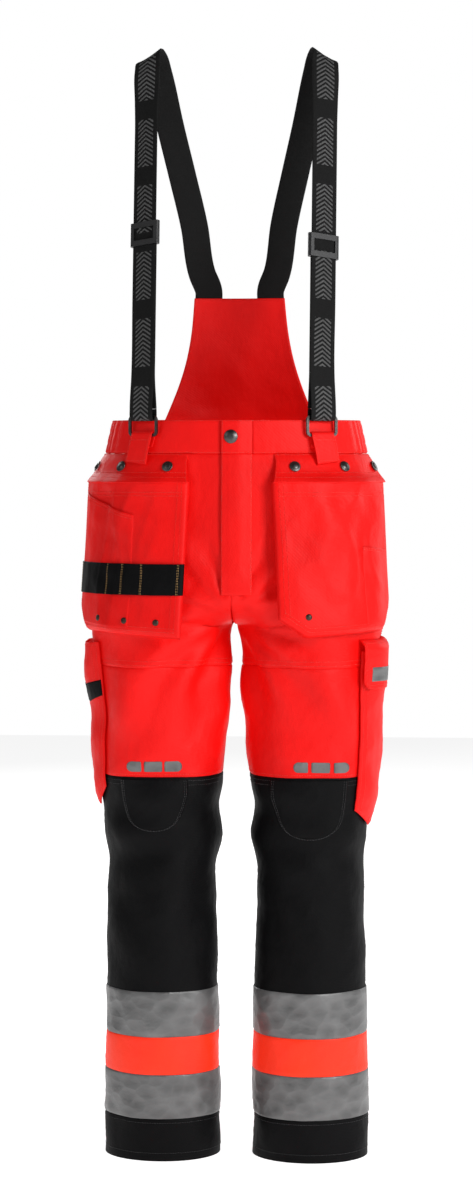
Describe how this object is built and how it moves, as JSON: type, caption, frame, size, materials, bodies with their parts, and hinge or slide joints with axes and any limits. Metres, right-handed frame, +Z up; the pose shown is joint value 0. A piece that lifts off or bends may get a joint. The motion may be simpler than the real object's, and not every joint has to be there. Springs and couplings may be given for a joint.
{
  "type": "work trousers with braces",
  "caption": "Hi-vis protective work trousers with adjustable braces, a raised back bib, hanging holster pockets, thigh pockets and reflective leg bands.",
  "frame": {"origin": "on the floor under the middle of the garment's box, where the hems stand", "axes": "+Z up along the legs and braces; the front with the fly faces -Y; the wearer's left is +X"},
  "size_m": [0.4512, 0.2768, 1.6057],
  "materials": {
    "red_cloth": "fluorescent red twill, matt",
    "orange_cloth": "fluorescent orange band, matt",
    "black_cloth": "black canvas, matt",
    "reflective_tape": "grey retro-reflective tape, satin",
    "webbing": "woven elastic webbing",
    "black_plastic": "moulded, satin",
    "gunmetal": "dark plated, satin"
  },
  "bodies": {
    "root": {"right_hip_front": "red_cloth", "right_thigh_front": "red_cloth", "right_back_panel": "red_cloth", "right_waistband": "red_cloth", "right_holster_yoke": "red_cloth", "right_ring_tab": "red_cloth", "right_knee_front": "black_cloth", "right_calf_back": "black_cloth", "right_cuff": "black_cloth", "right_zip_tape": "black_cloth", "right_upper_tape": "reflective_tape", "right_lower_tape": "reflective_tape", "right_orange_band": "orange_cloth", "right_brace": "webbing", "right_brace_return": "webbing", "right_yoke_snap_inner": "gunmetal", "right_yoke_snap_middle": "gunmetal", "right_yoke_snap_outer": "gunmetal", "left_hip_front": "red_cloth", "left_thigh_front": "red_cloth", "left_back_panel": "red_cloth", "left_waistband": "red_cloth", "left_holster_yoke": "red_cloth", "left_ring_tab": "red_cloth", "left_knee_front": "black_cloth", "left_calf_back": "black_cloth", "left_cuff": "black_cloth", "left_zip_tape": "black_cloth", "left_upper_tape": "reflective_tape", "left_lower_tape": "reflective_tape", "left_orange_band": "orange_cloth", "left_brace": "webbing", "left_brace_return": "webbing", "left_yoke_snap_inner": "gunmetal", "left_yoke_snap_middle": "gunmetal", "left_yoke_snap_outer": "gunmetal", "back_waistband": "red_cloth", "back_bib": "red_cloth", "rule_pocket": "red_cloth", "cargo_pocket": "red_cloth", "fly_underlap": "black_cloth", "waist_snap_stud": "gunmetal"},
    "fly": {"fly_flap": "red_cloth", "waist_overlap": "red_cloth", "waist_snap_cap": "gunmetal"},
    "right_holster": {"right_holster_bag": "red_cloth", "right_bag_rivet_inner": "gunmetal", "right_bag_rivet_middle": "gunmetal", "right_bag_rivet_outer": "gunmetal", "tool_strip": "black_cloth"},
    "left_holster": {"left_holster_bag": "red_cloth", "left_bag_rivet_inner": "gunmetal", "left_bag_rivet_outer": "gunmetal"},
    "right_slider": {"right_brace_slider": "black_plastic"},
    "left_slider": {"left_brace_slider": "black_plastic"},
    "right_ring": {"right_brace_ring": "gunmetal"},
    "left_ring": {"left_brace_ring": "gunmetal"},
    "flap": {"cargo_flap": "red_cloth"},
    "zip_runner": {"zip_slider": "gunmetal"},
    "zip_pull": {"zip_puller": "gunmetal"}
  },
  "joints": [
    {"name": "right_holster_swing", "type": "hinge", "parent": "root", "child": "right_holster", "pos_m": [-0.15813, -0.0796, 0.983], "axis": [-0.7632, 0.6462, 0], "range_deg": [0, 70]},
    {"name": "left_holster_swing", "type": "hinge", "parent": "root", "child": "left_holster", "pos_m": [0.15647, -0.0796, 0.983], "axis": [-0.7632, -0.6462, 0], "range_deg": [0, 70]},
    {"name": "right_slider_travel", "type": "slide", "parent": "root", "child": "right_slider", "axis": [-0.003, 0.2009, 0.9796], "range_m": [-0.08, 0.1], "deforming": ["right_brace_return"]},
    {"name": "right_ring_tilt", "type": "hinge", "parent": "root", "child": "right_ring", "pos_m": [-0.12748, -0.08401, 1.047], "axis": [0.8572, -0.515, 0], "range_deg": [-3, 3]},
    {"name": "left_slider_travel", "type": "slide", "parent": "root", "child": "left_slider", "axis": [0.003, 0.2009, 0.9796], "range_m": [-0.08, 0.1], "deforming": ["left_brace_return"]},
    {"name": "left_ring_tilt", "type": "hinge", "parent": "root", "child": "left_ring", "pos_m": [0.12582, -0.08401, 1.047], "axis": [0.8572, 0.515, 0], "range_deg": [-3, 3]},
    {"name": "cargo_flap_lift", "type": "hinge", "parent": "root", "child": "flap", "pos_m": [0.21372, 0.00824, 0.756], "axis": [0, -1, 0], "range_deg": [0, 110]},
    {"name": "fly_open", "type": "hinge", "parent": "root", "child": "fly", "pos_m": [0.02917, -0.11288, 1.021], "axis": [0, 0.0465, 0.9989], "range_deg": [0, 75]},
    {"name": "zip_travel", "type": "slide", "parent": "root", "child": "zip_runner", "axis": [0, -0.0465, -0.9989], "range_m": [0, 0.16]},
    {"name": "puller_lift", "type": "hinge", "parent": "zip_runner", "child": "zip_pull", "pos_m": [-0.00083, -0.11245, 1.0144], "axis": [-1, 0, 0], "range_deg": [0, 4]}
  ]
}
